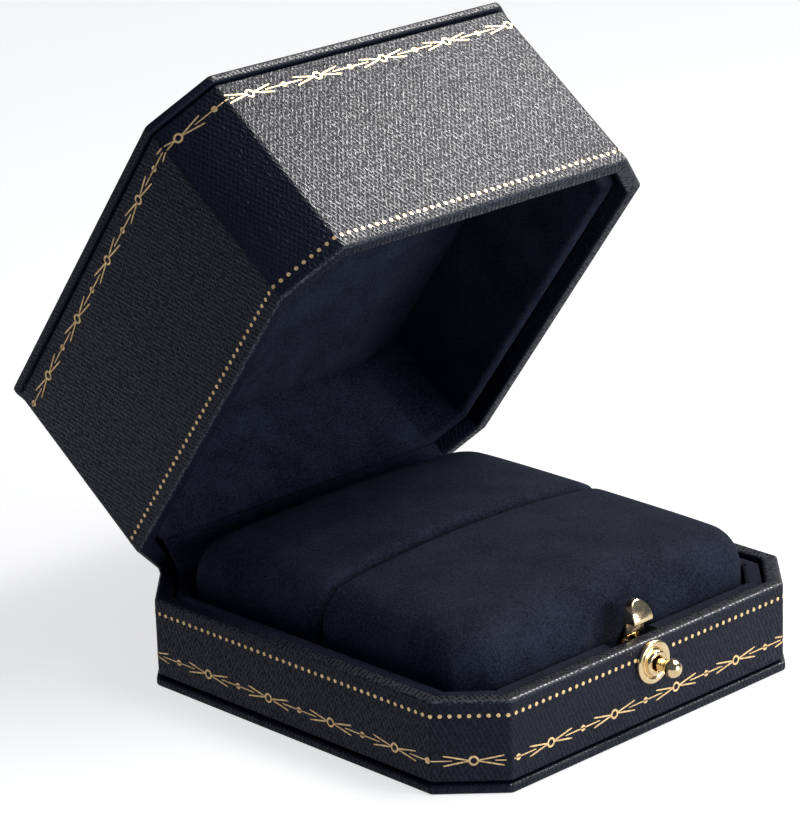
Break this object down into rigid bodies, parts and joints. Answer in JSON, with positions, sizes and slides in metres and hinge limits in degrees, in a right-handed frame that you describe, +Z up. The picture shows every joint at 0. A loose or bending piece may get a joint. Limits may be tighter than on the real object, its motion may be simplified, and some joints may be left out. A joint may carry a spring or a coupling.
{
  "type": "ring box",
  "caption": "octagonal hinged ring box in navy leatherette with a gilt-tooled border, suede ring cushions and a brass push-button clasp, standing open",
  "frame": {"origin": "the centre of the base's flat underside", "axes": "+X along the hinge, to the right seen from the button side; +Y from the button side to the hinge; +Z up from the underside"},
  "size_m": [0.0646, 0.0921, 0.081],
  "materials": {
    "outer_leatherette": "navy leatherette with a fine diagonal cross-hatch grain and a soft sheen",
    "suede_lining": "matt navy suede cloth",
    "polished_brass": "polished warm gold brass",
    "spring_steel": "plain drawn spring steel",
    "backing_card": "grey pressed card, hidden under the cushions"
  },
  "bodies": {
    "root": {"base_bottom_board": "outer_leatherette", "base_wall_frame": "outer_leatherette", "hinge_spine": "outer_leatherette", "base_tray": "suede_lining", "front_cushion": "suede_lining", "rear_cushion": "suede_lining", "hinge_flap": "suede_lining", "button_bush": "polished_brass", "hinge_base_leaf": "polished_brass", "hinge_base_rivet_left": "polished_brass", "hinge_base_rivet_right": "polished_brass", "latch_bracket": "polished_brass", "latch_bracket_rivet_left": "polished_brass", "latch_bracket_rivet_right": "polished_brass", "bush_nut": "polished_brass", "hinge_pin": "spring_steel", "hinge_snap_spring": "spring_steel", "latch_spring": "spring_steel", "latch_pivot_pin": "spring_steel", "cushion_card": "backing_card"},
    "lid": {"lid_wall_frame": "outer_leatherette", "lid_top_board": "outer_leatherette", "lid_liner": "suede_lining", "lid_ceiling_pad": "suede_lining", "hinge_lid_leaf": "polished_brass", "hinge_lid_rivet_left": "polished_brass", "hinge_lid_rivet_right": "polished_brass", "strike_plate": "polished_brass", "strike_screw_left": "polished_brass", "strike_screw_right": "polished_brass"},
    "button": {"push_button": "polished_brass", "button_clip": "spring_steel"},
    "tongue": {"latch_tongue": "polished_brass"}
  },
  "joints": [
    {"name": "lid_hinge", "type": "hinge", "parent": "root", "child": "lid", "pos_m": [0, 0.0317, 0.01225], "axis": [1, 0, 0], "range_deg": [0, 53.5], "deforming": ["hinge_spine", "hinge_flap"]},
    {"name": "button_press", "type": "slide", "parent": "root", "child": "button", "axis": [0, 1, 0], "range_m": [0, 0.0008], "stiffness_N_per_m": 120},
    {"name": "tongue_pivot", "type": "hinge", "parent": "root", "child": "tongue", "pos_m": [0, -0.0277, 0.0048], "axis": [-1, 0, 0], "range_deg": [0, 10.5]}
  ],
  "couplings": [
    {"joint": "tongue_pivot", "follows": "button_press", "rad_per_m": 227.3}
  ]
}
